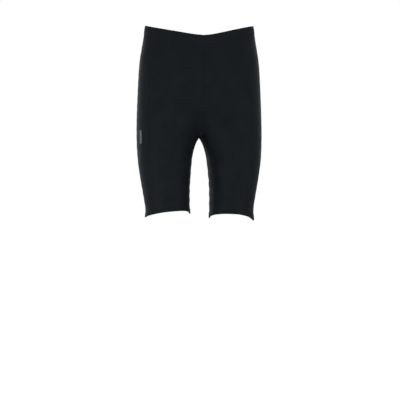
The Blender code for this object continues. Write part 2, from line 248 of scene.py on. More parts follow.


# %% [markdown]
# ## Creases and puckers
#
# Tight jersey hardly folds, but it is never smooth either. Pull lines fan out from the crotch,
# soft hollows cross the thighs, the seat folds under into the thigh, and the seams draw the
# cloth into a row of small puckers. Each crease is a trough between two ends with a bowed line
# and soft shoulders. The table lists them as uneven as the real ones. Positive depth
# is a hollow.

# %% Creases
Crease = namedtuple("Crease", "leg face x_up z_up x_low z_low bow width depth")
CREASES = (
    Crease("left", "front", 112.0, -348.0, 60.0, -424.0, 4.0, 9.0, 1.5),
    Crease("left", "front", 34.0, -292.0, 96.0, -262.0, -5.0, 8.0, 1.1),
    Crease("left", "front", 30.0, -284.0, 74.0, -246.0, -3.0, 5.5, 0.6),
    Crease("left", "front", 48.0, -322.0, 112.0, -300.0, 5.0, 7.0, 0.8),
    Crease("left", "front", 40.0, -470.0, 92.0, -450.0, 3.0, 8.0, 0.9),
    Crease("left", "front", 118.0, -486.0, 70.0, -476.0, -2.0, 6.0, 0.6),
    Crease("left", "front", 134.0, -402.0, 96.0, -440.0, 3.0, 6.0, 0.6),
    Crease("left", "front", 146.0, -70.0, 92.0, -96.0, 4.0, 9.0, 0.6),
    Crease("left", "front", 150.0, -150.0, 96.0, -176.0, 5.0, 11.0, 0.6),
    Crease("left", "front", 44.0, -190.0, 16.0, -250.0, 2.0, 7.0, 0.5),
    Crease("right", "front", 36.0, -288.0, 92.0, -252.0, -5.0, 8.0, 1.2),
    Crease("right", "front", 28.0, -282.0, 66.0, -238.0, -3.0, 5.5, 0.6),
    Crease("right", "front", 50.0, -326.0, 120.0, -310.0, 5.0, 7.0, 0.7),
    Crease("right", "front", 52.0, -398.0, 104.0, -366.0, 4.0, 9.0, 1.1),
    Crease("right", "front", 120.0, -470.0, 74.0, -448.0, -3.0, 8.0, 0.9),
    Crease("right", "front", 46.0, -438.0, 84.0, -424.0, 2.0, 6.0, 0.5),
    Crease("right", "front", 138.0, -380.0, 100.0, -420.0, 4.0, 7.0, 0.6),
    Crease("right", "front", 148.0, -88.0, 86.0, -118.0, 5.0, 10.0, 0.6),
    Crease("right", "front", 142.0, -196.0, 104.0, -214.0, 4.0, 9.0, 0.5),
    Crease("right", "front", 50.0, -204.0, 14.0, -258.0, -2.0, 7.0, 0.5),
    Crease("left", "back", 26.0, -298.0, 124.0, -318.0, 7.0, 10.0, 3.1),
    Crease("left", "back", 34.0, -316.0, 96.0, -332.0, 5.0, 6.0, 1.3),
    Crease("left", "back", 46.0, -352.0, 104.0, -338.0, -4.0, 8.0, 1.5),
    Crease("left", "back", 62.0, -455.0, 118.0, -430.0, -4.0, 8.0, 1.4),
    Crease("left", "back", 120.0, -486.0, 64.0, -474.0, 3.0, 6.0, 1.0),
    Crease("left", "back", 22.0, -262.0, 70.0, -230.0, -4.0, 7.0, 1.0),
    Crease("left", "back", 18.0, -226.0, 58.0, -190.0, -3.0, 7.0, 0.7),
    Crease("left", "back", 136.0, -40.0, 60.0, -62.0, 5.0, 9.0, 1.1),
    Crease("right", "back", 28.0, -300.0, 118.0, -322.0, 7.0, 10.0, 2.9),
    Crease("right", "back", 40.0, -320.0, 106.0, -338.0, 5.0, 6.0, 1.1),
    Crease("right", "back", 50.0, -362.0, 110.0, -346.0, -4.0, 8.0, 1.5),
    Crease("right", "back", 58.0, -440.0, 112.0, -462.0, 4.0, 8.0, 1.4),
    Crease("right", "back", 116.0, -490.0, 70.0, -482.0, 2.0, 6.0, 0.8),
    Crease("right", "back", 24.0, -258.0, 76.0, -222.0, -4.0, 7.0, 1.0),
    Crease("right", "back", 16.0, -216.0, 52.0, -178.0, -3.0, 7.0, 0.7),
    Crease("right", "back", 128.0, -52.0, 66.0, -70.0, 5.0, 9.0, 1.0),
)
SHOULDER = 0.3

Pucker = namedtuple("Pucker", "leg seam start end spacing depth reach")
PUCKERS = (
    Pucker("right", "inner", -350.0, -520.0, 27.0, 1.3, 20.0),
    Pucker("left", "inner", -346.0, -520.0, 30.0, 1.4, 20.0),
    Pucker("right", "side", -30.0, -520.0, 23.0, 0.45, 18.0),
    Pucker("left", "side", -30.0, -520.0, 25.0, 0.5, 18.0),
    Pucker("right", "centre", -70.0, -290.0, 15.0, 0.3, 12.0),
    Pucker("left", "centre", -70.0, -290.0, 15.0, 0.3, 12.0),
)
GATHER_SPACING = 8.5
GATHER_DEPTH = 0.45
GATHER_REACH = 16.0
UNEVEN_DEPTH = 0.45
UNEVEN_SIZE = 38.0


def crease_depth(leg, face, x, z):
    """How deep the creases of one panel draw the cloth in."""
    depth = np.zeros_like(z)
    for crease in CREASES:
        if (crease.leg, crease.face) != (leg, face):
            continue
        run = np.array([crease.x_low - crease.x_up, crease.z_low - crease.z_up])
        length = np.hypot(*run)
        away_x = x - crease.x_up
        away_z = z - crease.z_up
        along = np.clip((away_x * run[0] + away_z * run[1]) / length**2, 0.0, 1.0)
        aside = (away_x * run[1] - away_z * run[0]) / length
        aside = (aside - crease.bow * np.sin(math.pi * along)) / crease.width
        fade = np.sin(math.pi * along) ** 1.3
        trough = np.exp(-(aside**2))
        lips = np.exp(-((np.abs(aside) - 1.9) ** 2))
        depth += crease.depth * fade * (trough - SHOULDER * lips)
    return depth


def pucker_depth(leg, z, side_arc, inner_arc):
    """How deep the seams' puckers draw the cloth in."""
    depth = np.zeros_like(z)
    for pucker in PUCKERS:
        if pucker.leg != leg:
            continue
        arc = side_arc if pucker.seam == "side" else inner_arc
        drift = 0.9 * np.sin(z / 31.0 + len(pucker.seam))
        wave = 0.5 - 0.5 * np.cos(2.0 * math.pi * (pucker.start - z) / pucker.spacing + drift)
        inside = np.clip((pucker.start - z) / 12.0, 0.0, 1.0) * np.clip((z - pucker.end) / 6.0, 0.0, 1.0)
        swell = 0.7 + 0.3 * np.sin(z / 23.0 + 2.0 * len(leg))
        depth += pucker.depth * wave * swell * inside * np.exp(-((arc / pucker.reach) ** 2))
    return depth


def unevenness(points):
    """A slow random swell, the same in every run."""
    flat = points.reshape(-1, 3) / UNEVEN_SIZE
    return np.array([noise.noise(Vector(point)) for point in flat]).reshape(points.shape[:-1])


# %% Points on the cloth
STEP = 0.2


def surface(leg, face, z, across, finish=True):
    """Points and outward normals of the cloth's outer face, in mm on the +X half."""
    z = np.asarray(z, float)
    across = np.asarray(across, float)
    points = smooth_form(z, across, face)
    ahead = np.where(across < 0.5, 0.002, -0.002)
    upward = np.where(z > CROTCH_Z + 0.01, STEP, -STEP)
    side_step = (smooth_form(z, across + ahead, face) - points) * np.sign(ahead)[..., None]
    up_step = (smooth_form(z + upward, across, face) - points) * np.sign(upward)[..., None]
    normals = np.cross(side_step, up_step) * FACES[face]
    at_side = across < 1e-6
    at_inner = across > 1.0 - 1e-6
    rise_zone = z > CROTCH_Z + 0.01
    normals[..., 1] = np.where(at_side | (at_inner & ~rise_zone), 0.0, normals[..., 1])
    normals[..., 0] = np.where(at_inner & rise_zone, 0.0, normals[..., 0])
    at_crotch = at_inner & (np.abs(z - CROTCH_Z) < 0.01)
    normals[at_crotch] = (0.0, 0.0, -1.0)
    normals /= np.maximum(np.linalg.norm(normals, axis=-1, keepdims=True), 1e-12)
    if finish:
        width = level_value("outer", z) - np.maximum(level_value("inner", z), 0.0)
        side_arc = across * width * 1.3
        inner_arc = (1.0 - across) * width * 1.3
        depth = crease_depth(leg, face, points[..., 0], z)
        depth += pucker_depth(leg, z, side_arc, inner_arc)
        points = points - normals * depth[..., None]
    return points, normals


def to_metres(leg, points):
    """Puts points of the +X half on their own leg, in metres."""
    return points * np.array([LEGS[leg], 1.0, 1.0]) * MM


sample, _ = surface("left", "front", np.array([-200.0]), np.array([0.5]))
print("a point on the left front panel", np.round(sample, 1))

# %% [markdown]
# ## Cloth and thread
#
# The jersey is a warp knit of nylon and elastane: nearly black, with fine upright wales, a faint
# bluish cast and a soft sheen towards its rounded edges. Its pattern reads the panel's own UV
# map, which is in metres, so the knit has its real size and follows the cloth.

# %% Materials
def node(tree, kind, **values):
    """A node of a material's tree with some of its properties set."""
    made = tree.nodes.new(kind)
    for name, value in values.items():
        setattr(made, name, value)
    return made


def fabric(name, dark, light, roughness, sheen, specular, wale, bump):
    """A knitted fabric: two near shades, upright wales and courses, fine fuzz and soft sheen."""
    material = bpy.data.materials.new(name)
    material.use_nodes = True
    tree = material.node_tree
    link = tree.links.new
    shader = tree.nodes["Principled BSDF"]
    place = node(tree, "ShaderNodeUVMap", uv_map="UVMap")
    where = node(tree, "ShaderNodeTexCoord")
    wales = node(tree, "ShaderNodeTexWave", wave_type="BANDS", bands_direction="X")
    wales.inputs["Scale"].default_value = 1.0 / wale * math.pi / 10.0
    wales.inputs["Distortion"].default_value = 0.6
    wales.inputs["Detail"].default_value = 1.0
    courses = node(tree, "ShaderNodeTexWave", wave_type="BANDS", bands_direction="Y")
    courses.inputs["Scale"].default_value = 1.4 / wale * math.pi / 10.0
    courses.inputs["Distortion"].default_value = 0.9
    mottle = node(tree, "ShaderNodeTexNoise")
    mottle.inputs["Scale"].default_value = 26.0
    mottle.inputs["Detail"].default_value = 5.0
    fuzz = node(tree, "ShaderNodeTexNoise")
    fuzz.inputs["Scale"].default_value = 2400.0
    fuzz.inputs["Detail"].default_value = 2.0
    for texture in (wales, courses):
        link(place.outputs["UV"], texture.inputs["Vector"])
    for texture in (mottle, fuzz):
        link(where.outputs["Object"], texture.inputs["Vector"])
    knit = node(tree, "ShaderNodeMath", operation="MULTIPLY")
    link(wales.outputs["Fac"], knit.inputs[0])
    link(courses.outputs["Fac"], knit.inputs[1])
    grain = node(tree, "ShaderNodeMath", operation="MULTIPLY_ADD")
    grain.inputs[1].default_value = 0.35
    link(fuzz.outputs["Fac"], grain.inputs[0])
    link(knit.outputs[0], grain.inputs[2])
    shade = node(tree, "ShaderNodeMath", operation="MULTIPLY_ADD")
    shade.inputs[1].default_value = 0.35
    link(grain.outputs[0], shade.inputs[0])
    link(mottle.outputs["Fac"], shade.inputs[2])
    colours = node(tree, "ShaderNodeValToRGB")
    colours.color_ramp.elements[0].position = 0.35
    colours.color_ramp.elements[0].color = (*dark, 1.0)
    colours.color_ramp.elements[1].position = 0.95
    colours.color_ramp.elements[1].color = (*light, 1.0)
    link(shade.outputs[0], colours.inputs["Fac"])
    link(colours.outputs["Color"], shader.inputs["Base Color"])
    gloss = node(tree, "ShaderNodeMapRange")
    gloss.inputs["To Min"].default_value = roughness - 0.06
    gloss.inputs["To Max"].default_value = roughness + 0.08
    link(mottle.outputs["Fac"], gloss.inputs["Value"])
    link(gloss.outputs["Result"], shader.inputs["Roughness"])
    relief = node(tree, "ShaderNodeBump")
    relief.inputs["Strength"].default_value = 1.0
    relief.inputs["Distance"].default_value = bump
    link(grain.outputs[0], relief.inputs["Height"])
    link(relief.outputs["Normal"], shader.inputs["Normal"])
    shader.inputs["Specular IOR Level"].default_value = specular
    shader.inputs["Sheen Weight"].default_value = sheen
    shader.inputs["Sheen Roughness"].default_value = 0.45
    shader.inputs["Sheen Tint"].default_value = (0.75, 0.85, 1.0, 1.0)
    return material


JERSEY = fabric("jersey", (0.0049, 0.0075, 0.0101), (0.0086, 0.0126, 0.0165), 0.6, 0.012, 0.09, 0.9 * MM, 0.05 * MM)
CASING = fabric("casing", (0.0054, 0.0081, 0.0107), (0.0094, 0.0135, 0.0175), 0.62, 0.012, 0.09, 1.1 * MM, 0.07 * MM)
THREAD = fabric("thread", (0.0051, 0.0077, 0.0102), (0.0087, 0.0126, 0.0165), 0.55, 0.01, 0.1, 0.6 * MM, 0.03 * MM)


def reflective_material():
    """Grey transfer film with tiny glass beads in it."""
    material = bpy.data.materials.new("reflective_film")
    material.use_nodes = True
    tree = material.node_tree
    link = tree.links.new
    shader = tree.nodes["Principled BSDF"]
    where = node(tree, "ShaderNodeTexCoord")
    beads = node(tree, "ShaderNodeTexVoronoi")
    beads.inputs["Scale"].default_value = 2600.0
    link(where.outputs["Object"], beads.inputs["Vector"])
    colours = node(tree, "ShaderNodeValToRGB")
    colours.color_ramp.elements[0].color = (0.12, 0.13, 0.13, 1.0)
    colours.color_ramp.elements[1].color = (0.07, 0.08, 0.08, 1.0)
    link(beads.outputs["Distance"], colours.inputs["Fac"])
    link(colours.outputs["Color"], shader.inputs["Base Color"])
    relief = node(tree, "ShaderNodeBump")
    relief.inputs["Strength"].default_value = 0.5
    relief.inputs["Distance"].default_value = 0.04 * MM
    link(beads.outputs["Distance"], relief.inputs["Height"])
    link(relief.outputs["Normal"], shader.inputs["Normal"])
    shader.inputs["Roughness"].default_value = 0.38
    shader.inputs["Metallic"].default_value = 0.35
    return material


FILM = reflective_material()

# %% [markdown]
# ## Leg panels
#
# A sewer starts from a flat cut. Here each panel starts as a flat grid, and each of its points
# is then laid on the worn form. Its rows crowd towards the crotch, where the form turns fastest.
# Solidify gives the cloth its thickness inward, so the outer face stays on the part's wall.

# %% Laying a flat grid on the form
CLOTH = 0.8
RISE_SHARE = 0.55
RISE_SPACING = 1.7
PANEL_COLUMNS = 84
PANEL_ROWS = 160


def deselect():
    bpy.ops.object.select_all(action="DESELECT")


def flat_grid(name, columns, rows):
    """A flat unit grid, with how far across (0 to 1) and down (0 to 1) each of its points is."""
    deselect()
    bpy.ops.mesh.primitive_grid_add(x_subdivisions=columns, y_subdivisions=rows, size=1.0)
    piece = bpy.context.object
    piece.name = name
    piece.data.name = name
    flat = np.empty(len(piece.data.vertices) * 3)
    piece.data.vertices.foreach_get("co", flat)
    flat = flat.reshape(-1, 3)
    across = np.round((flat[:, 0] + 0.5) * columns) / columns
    down = np.round((0.5 - flat[:, 1]) * rows) / rows
    return piece, across, down


def lay(piece, points, uv):
    """Moves every vertex to its point, in metres, and writes the UV map, in metres."""
    piece.data.vertices.foreach_set("co", points.reshape(-1))
    corners = np.empty(len(piece.data.loops), int)
    piece.data.loops.foreach_get("vertex_index", corners)
    piece.data.uv_layers[0].name = "UVMap"
    piece.data.uv_layers[0].data.foreach_set("uv", uv[corners].reshape(-1))
    piece.data.update()


def face_outward(piece, normals):
    """Turns the faces round where the mesh's own normals point against the cloth's."""
    own = np.empty(len(piece.data.vertices) * 3)
    piece.data.vertex_normals.foreach_get("vector", own)
    if (own.reshape(-1, 3) * normals).sum() < 0.0:
        piece.data.flip_normals()


def apply_modifier(piece, kind, **values):
    modifier = piece.modifiers.new(kind.lower(), kind)
    for name, value in values.items():
        setattr(modifier, name, value)
    deselect()
    piece.select_set(True)
    bpy.context.view_layer.objects.active = piece
    bpy.ops.object.modifier_apply(modifier=modifier.name)


def finish_piece(piece, material):
    piece.data.materials.clear()
    piece.data.materials.append(material)
    piece.data.shade_smooth()
    deselect()
    piece.select_set(True)
    bpy.context.view_layer.objects.active = piece
    bpy.ops.object.shade_smooth_by_angle(angle=math.radians(55.0))
    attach(piece, "root")


def triangles(piece):
    return sum(len(face.vertices) - 2 for face in piece.data.polygons)


# %% Panels
def panel_heights(leg, face, across, down):
    """Heights of a panel's points: crowded rows down to the crotch, even rows below it."""
    top = waist_height(leg, face, across) - BAND_HEIGHT + 2.0
    bottom = hem_height(leg, face, across) + HEM_HEIGHT - 2.0
    rise = np.clip(1.0 - down / RISE_SHARE, 0.0, 1.0) ** RISE_SPACING
    drop = np.clip((down - RISE_SHARE) / (1.0 - RISE_SHARE), 0.0, 1.0)
    above = CROTCH_Z + (top - CROTCH_Z) * rise
    return np.where(down < RISE_SHARE, above, CROTCH_Z + (bottom - CROTCH_Z) * drop)


def gathers(leg, face, z, across):
    """Small upright gathers that the waist elastic draws into the top of a panel."""
    below = waist_height(leg, face, across) - BAND_HEIGHT - z
    arc = across * 240.0 + (0.0 if leg == "left" else 4.0)
    wave = np.sin(2.0 * math.pi * arc / GATHER_SPACING + 1.3 * np.sin(arc / 19.0))
    swell = 0.6 + 0.4 * np.sin(arc / 27.0 + (1.0 if face == "back" else 0.0))
    return GATHER_DEPTH * wave * swell * np.exp(-((np.maximum(below, 0.0) / GATHER_REACH) ** 2))


def make_panel(leg, face):
    name = f"jersey_{face}_{leg}"
    piece, across, down = flat_grid(name, PANEL_COLUMNS, PANEL_ROWS)
    z = panel_heights(leg, face, across, down)
    points, normals = surface(leg, face, z, across)
    swell = gathers(leg, face, z, across) + UNEVEN_DEPTH * unevenness(points * [LEGS[leg], 1.0, 1.0])
    seam_fade = np.clip(np.minimum(across, 1.0 - across) * 12.0, 0.0, 1.0)
    points = points + normals * (swell * seam_fade)[:, None]
    half_gap = SEAM_GAP / 2.0
    at_side = across < 1e-6
    at_inner = across > 1.0 - 1e-6
    rise_zone = z > CROTCH_Z - 0.01
    points[at_inner & rise_zone, 0] = half_gap
    seam_y = level_value("middle", z) + FACES[face] * half_gap
    on_seam = at_side | (at_inner & (z < CROTCH_Z + 0.01))
    points[on_seam, 1] = seam_y[on_seam]
    width = level_value("outer", z) - np.maximum(level_value("inner", z), 0.0)
    uv = np.stack([across * width * 1.4, z], axis=1) * MM
    lay(piece, to_metres(leg, points), uv)
    face_outward(piece, normals * [LEGS[leg], 1.0, 1.0])
    area = sum(face_.area for face_ in piece.data.polygons)
    apply_modifier(piece, "SOLIDIFY", thickness=CLOTH * MM, offset=-1.0)
    finish_piece(piece, JERSEY)
    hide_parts(f"{face}_{leg}")
    print(f"{name}: {triangles(piece)} triangles, {area:.4f} square metres worn")
    return piece, area


# Each panel prints its triangles and its worn area in square metres. Jersey is cut smaller than
# the body and stretches about a fifth across it.
for leg in LEGS:
    for face in FACES:
        piece, area = make_panel(leg, face)

# %% [markdown]
# ## Bands and hems
#
# The waistband is a folded casing with elastic in it, and each hem is turned twice. Both are cut
# as long strips, so each one starts as a flat strip too: its length becomes the way round the
# body, and its width the way round the folded band's own outline. Where its ends and edges then
# meet they are merged, which closes the ring. A torus would be a ring already, but it has 256
# segments at most, too few for the ribs of the elastic.

# %% Rings
Corner = namedtuple("Corner", "up out")
BAND_OUTLINE = (
    Corner(0.0, -0.9),
    Corner(0.0, 0.2),
    Corner(0.07, 0.85),
    Corner(0.3, 1.15),
    Corner(0.6, 1.2),
    Corner(0.9, 0.95),
    Corner(1.0, 0.3),
    Corner(1.0, -0.8),
    Corner(0.92, -1.35),
    Corner(0.6, -1.5),
    Corner(0.3, -1.5),
    Corner(0.06, -1.35),
)
HEM_OUTLINE = (
    Corner(0.0, -0.9),
    Corner(0.0, 0.2),
    Corner(0.1, 0.8),
    Corner(0.35, 0.9),
    Corner(0.6, 0.7),
    Corner(0.85, 0.7),
    Corner(1.0, 0.35),
    Corner(1.0, -0.9),
    Corner(0.8, -1.4),
    Corner(0.4, -1.5),
    Corner(0.1, -1.4),
)
Band = namedtuple("Band", "route bottom height outline ripple drop flare")


def section_place(outline, height, share):
    """Up (0 to 1) and out (mm) at shares of the way round a closed outline, on a smooth curve."""
    corners = np.array([(corner.up * height, corner.out) for corner in outline])
    count = len(corners)
    rounds = np.arange(count * 12) / 12.0
    index = rounds.astype(int)
    t = (rounds - index)[:, None]
    before, here, there, after = (corners[(index + shift) % count] for shift in (-1, 0, 1, 2))
    curve = 0.5 * (
        2.0 * here
        + (there - before) * t
        + (2.0 * before - 5.0 * here + 4.0 * there - after) * t**2
        + (3.0 * here - before - 3.0 * there + after) * t**3
    )
    closed = np.concatenate([curve, curve[:1]])
    lengths = np.concatenate([[0.0], np.cumsum(np.linalg.norm(np.diff(closed, axis=0), axis=1))])
    up = np.interp(share, lengths / lengths[-1], closed[:, 0]) / height
    out = np.interp(share, lengths / lengths[-1], closed[:, 1])
    return up, out


def route_places(route, share):
    """Which stretch of a closed route each share falls in, and how far across the panel."""
    stretch = np.minimum((share * len(route)).astype(int), len(route) - 1)
    part = share * len(route) - stretch
    starts = np.array([row[2] for row in route])
    ends = np.array([row[3] for row in route])
    return stretch, starts[stretch] + (ends[stretch] - starts[stretch]) * part


def ring_points(band, round_share, up, out):
    """Points, in metres, and outward directions at places on a band."""
    stretch, across = route_places(band.route, round_share)
    points = np.zeros((len(across), 3))
    normals = np.zeros((len(across), 3))
    for number, (leg, face, _, _) in enumerate(band.route):
        mine = stretch == number
        if not mine.any():
            continue
        z = band.bottom(leg, face, across[mine]) + up[mine] * band.height
        spot, level = surface(leg, face, z, across[mine], finish=False)
        level[:, 2] = 0.0
        level /= np.maximum(np.linalg.norm(level, axis=1, keepdims=True), 1e-9)
        shift = out[mine] + band.flare(leg, across[mine]) * (1.0 - up[mine])
        shift += band.ripple(leg, face, across[mine], up[mine], out[mine])
        spot = spot + level * shift[:, None]
        spot[:, 2] -= band.drop(leg, face, across[mine], up[mine])
        points[mine] = to_metres(leg, spot)
        normals[mine] = level * [LEGS[leg], 1.0, 1.0]
    return points, normals


def merge_ends(piece):
    """Closes a strip whose ends and long edges lie on each other."""
    deselect()
    piece.select_set(True)
    bpy.context.view_layer.objects.active = piece
    bpy.ops.object.mode_set(mode="EDIT")
    bpy.ops.mesh.select_all(action="SELECT")
    bpy.ops.mesh.remove_doubles(threshold=0.002 * MM)
    bpy.ops.object.mode_set(mode="OBJECT")


def make_ring(name, band, around, section):
    """A closed band round an opening."""
    piece, round_share, section_share = flat_grid(name, around, section)
    up, out = section_place(band.outline, band.height, section_share)
    points, normals = ring_points(band, round_share, up, out)
    length = HALF_HEM * len(band.route) * 1.05
    lay(piece, points, np.stack([round_share * length, up * band.height], axis=1) * MM)
    face_outward(piece, normals * np.sign(out + 0.35)[:, None])
    merge_ends(piece)
    return piece


# %% Waistband
BAND_STITCH = 4.0
GROOVE = 0.35
PANEL_ARC = 240.0
NOTCH_DEPTH = 1.6
NOTCH_HALF = 2.0


def band_ripple(leg, face, across, up, out):
    """Elastic ribs, the hollow of the stitch row and the nip where the casing's ends are joined."""
    arc = across * PANEL_ARC
    ribs = 0.16 * np.sin(2.0 * math.pi * arc / 4.6 + 0.8 * np.sin(arc / 13.0))
    gather = 0.25 * np.sin(2.0 * math.pi * arc / 17.0 + 1.5 * np.sin(arc / 41.0))
    body = np.sin(math.pi * np.clip(up, 0.0, 1.0)) ** 0.5
    groove = -GROOVE * np.exp(-(((up * BAND_HEIGHT - BAND_STITCH) / 0.9) ** 2))
    groove -= 0.5 * np.exp(-((arc / 1.3) ** 2)) + 0.5 * np.exp(-(((PANEL_ARC - arc) / 1.3) ** 2))
    return (ribs + gather) * body * np.where(out > 0.0, 1.0, 0.6) + np.where(out > 0.0, groove, 0.0)


def band_bottom(leg, face, across):
    return waist_height(leg, face, across) - BAND_HEIGHT


def band_notch(leg, face, across, up):
    """The small nip in the top edge where the centre-front seam ends."""
    if face == "back":
        return np.zeros_like(across)
    return NOTCH_DEPTH * up**2 * np.exp(-(((1.0 - across) * PANEL_ARC / NOTCH_HALF) ** 2))


def no_flare(leg, across):
    return np.zeros_like(across)


WAISTBAND = Band(
    route=(
        ("left", "front", 0.0, 1.0),
        ("right", "front", 1.0, 0.0),
        ("right", "back", 0.0, 1.0),
        ("left", "back", 1.0, 0.0),
    ),
    bottom=band_bottom,
    height=BAND_HEIGHT,
    outline=BAND_OUTLINE,
    ripple=band_ripple,
    drop=band_notch,
    flare=no_flare,
)
waistband = make_ring("elastic_waistband", WAISTBAND, 960, 72)
finish_piece(waistband, CASING)
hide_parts("waistband")
print("waistband", triangles(waistband), "triangles")

# %% Hems
HEM_STITCHES = (5.0, 8.0)


def hem_ripple(leg, face, across, up, out):
    """The pull of the two stitch rows and the small waves between them."""
    arc = across * HALF_HEM
    pull = 0.22 * np.sin(2.0 * math.pi * arc / 9.0 + 1.1 * np.sin(arc / 17.0))
    groove = np.zeros_like(arc)
    for row in HEM_STITCHES:
        groove -= 0.25 * np.exp(-(((up * HEM_HEIGHT - row) / 0.6) ** 2))
    return pull * np.sin(math.pi * np.clip(up, 0.0, 1.0)) + np.where(out > 0.0, groove, 0.0)


def tuft_drop(leg, face, across, up):
    return tuft_share(leg, across, "drop") * (1.0 - up)


def tuft_flare(leg, across):
    return tuft_share(leg, across, "flare")


def hem_band(leg):
    route = ((leg, "front", 0.0, 1.0), (leg, "back", 1.0, 0.0))
    return Band(route, hem_height, HEM_HEIGHT, HEM_OUTLINE, hem_ripple, tuft_drop, tuft_flare)


HEM_BANDS = {leg: hem_band(leg) for leg in LEGS}
hems = {}
for leg, band in HEM_BANDS.items():
    hems[leg] = make_ring(f"turned_hem_{leg}", band, 460, 40)
    finish_piece(hems[leg], JERSEY)
    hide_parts(f"hem_{leg}")
    print(hems[leg].name, triangles(hems[leg]), "triangles")

# %% [markdown]
# ## Seams
#
# Sports seams are flat-locked: the two edges meet and a flat band of thread covers them. The
# band is a narrow strip laid along the seam, a little proud of the cloth.

# %% Seam strips
SEAM_HALF = 2.4
SEAM_RISE = 0.25
Seam = namedtuple("Seam", "name leg face other_leg other_face across top bottom rows")
SEAMS = (
    Seam("seam_side_left", "left", "front", "left", "back", 0.0, "waist", "hem", 260),
    Seam("seam_side_right", "right", "front", "right", "back", 0.0, "waist", "hem", 260),
    Seam("seam_inner_left", "left", "front", "left", "back", 1.0, "crotch", "hem", 120),
    Seam("seam_inner_right", "right", "front", "right", "back", 1.0, "crotch", "hem", 120),
    Seam("seam_centre_front", "left", "front", "right", "front", 1.0, "waist", "crotch", 180),
    Seam("seam_centre_back", "left", "back", "right", "back", 1.0, "waist", "crotch", 180),
)


def seam_ends(seam):
    """Heights of the two ends of a seam."""
    across = np.array([seam.across])
    ends = {
        "waist": float(waist_height(seam.leg, seam.face, across)[0]) - BAND_HEIGHT + 1.0,
        "crotch": CROTCH_Z,
        "hem": float(hem_height(seam.leg, seam.face, across)[0]) + HEM_HEIGHT - 1.0,
    }
    return ends[seam.top], ends[seam.bottom]


def seam_places(seam, share, aside):
    """Points and normals beside a seam: share of the way down it, and mm to either side of it."""
    top, bottom = seam_ends(seam)
    if seam.bottom == "crotch":
        z = bottom + (top - bottom) * (1.0 - share) ** RISE_SPACING
    else:
        z = top + (bottom - top) * share
    points = np.zeros((len(z), 3))
    normals = np.zeros((len(z), 3))
    sides = ((aside <= 0.0, seam.leg, seam.face), (aside > 0.0, seam.other_leg, seam.other_face))
    for mine, leg, face in sides:
        if not mine.any():
            continue
        far = np.full(mine.sum(), 0.02)
        at_seam, _ = surface(leg, face, z[mine], np.full(mine.sum(), seam.across), finish=False)
        inside = seam.across + (far if seam.across < 0.5 else -far)
        beside, _ = surface(leg, face, z[mine], inside, finish=False)
        per_unit = np.linalg.norm(beside - at_seam, axis=1) / 0.02
        shift = np.abs(aside[mine]) / np.maximum(per_unit, 20.0)
        across = seam.across + (shift if seam.across < 0.5 else -shift)
        spot, normal = surface(leg, face, z[mine], across)
        points[mine] = to_metres(leg, spot)
        normals[mine] = normal * [LEGS[leg], 1.0, 1.0]
    return points, normals


def make_seam(seam):
    piece, across, down = flat_grid(seam.name, 8, seam.rows)
    aside = (across - 0.5) * 2.0 * SEAM_HALF
    points, normals = seam_places(seam, down, aside)
    crown = SEAM_RISE * (1.0 - np.abs(aside / SEAM_HALF) ** 3) + 0.03
    points = points + normals * (crown * MM)[:, None]
    uv = np.stack([aside, down * 500.0], axis=1) * MM
    lay(piece, points, uv)
    face_outward(piece, normals)
    apply_modifier(piece, "SOLIDIFY", thickness=0.35 * MM, offset=-1.0)
    finish_piece(piece, THREAD)
    return piece


for seam in SEAMS:
    print(make_seam(seam).name)

# %% [markdown]
# ## Stitches
#
# Every stitch is the same short piece of thread, so one is modelled from a small sphere and then
# copied along its row. Its ends dip into the cloth. A flat-locked seam has a row of needle
# thread along each edge and looper thread that crosses between them, and the bands have plain
# rows. One row of copies is one mesh, so it stays light.

# %% One stitch
NEEDLE_LENGTH = 2.4
NEEDLE_SPACING = 2.8
CROSS_SPACING = 1.9
CROSS_SLANT = 1.0
THREAD_WIDTH = 0.55


def thread_shape():
    """Points and faces of a thread 1 long and 1 thick, along X, with ends that dip below it."""
    deselect()
    bpy.ops.mesh.primitive_uv_sphere_add(segments=6, ring_count=4, radius=0.5)
    bpy.ops.object.mode_set(mode="EDIT")
    bpy.ops.mesh.select_all(action="SELECT")
    bpy.ops.transform.rotate(value=math.radians(90.0), orient_axis="Y", center_override=(0.0, 0.0, 0.0))
    bpy.ops.object.mode_set(mode="OBJECT")
    thread = bpy.context.object
    points = np.array([vertex.co for vertex in thread.data.vertices])
    faces = [list(face.vertices) for face in thread.data.polygons]
    bpy.data.objects.remove(thread, do_unlink=True)
    radius = np.hypot(points[:, 1], points[:, 2])
    fuller = 0.5 * np.sqrt(np.clip(1.0 - np.abs(2.0 * points[:, 0]) ** 4, 0.0, 1.0))
    points[:, 1:] *= (fuller / np.maximum(radius, 1e-6))[:, None] * (radius > 1e-3)[:, None]
    points[:, 2] -= 0.8 * (2.0 * points[:, 0]) ** 2
    return points, faces


THREAD_POINTS, THREAD_FACES = thread_shape()


def sew(name, centres, ahead, normals, length, slot):
    """One mesh of stitches: each is length mm long and lies along its own direction ahead."""
    ahead = ahead / np.linalg.norm(ahead, axis=1, keepdims=True)
    aside = np.cross(normals, ahead)
    aside /= np.linalg.norm(aside, axis=1, keepdims=True)
    x, y, z = THREAD_POINTS.T * MM
    points = centres[:, None] + ahead[:, None] * (x * length)[None, :, None]
    points = points + aside[:, None] * (y * THREAD_WIDTH)[None, :, None]
    points = points + normals[:, None] * (z * THREAD_WIDTH)[None, :, None]
    faces = []
    for copy in range(len(centres)):
        start = copy * len(THREAD_POINTS)
        faces += [[start + corner for corner in face] for face in THREAD_FACES]
    data = bpy.data.meshes.new(name)
    data.from_pydata(points.reshape(-1, 3).tolist(), [], faces)
    data.uv_layers.new(name="UVMap")
    piece = bpy.data.objects.new(name, data)
    scene.collection.objects.link(piece)
    finish_piece(piece, THREAD)
    print(f"{name}: {len(centres)} stitches, {triangles(piece)} triangles")
    return piece


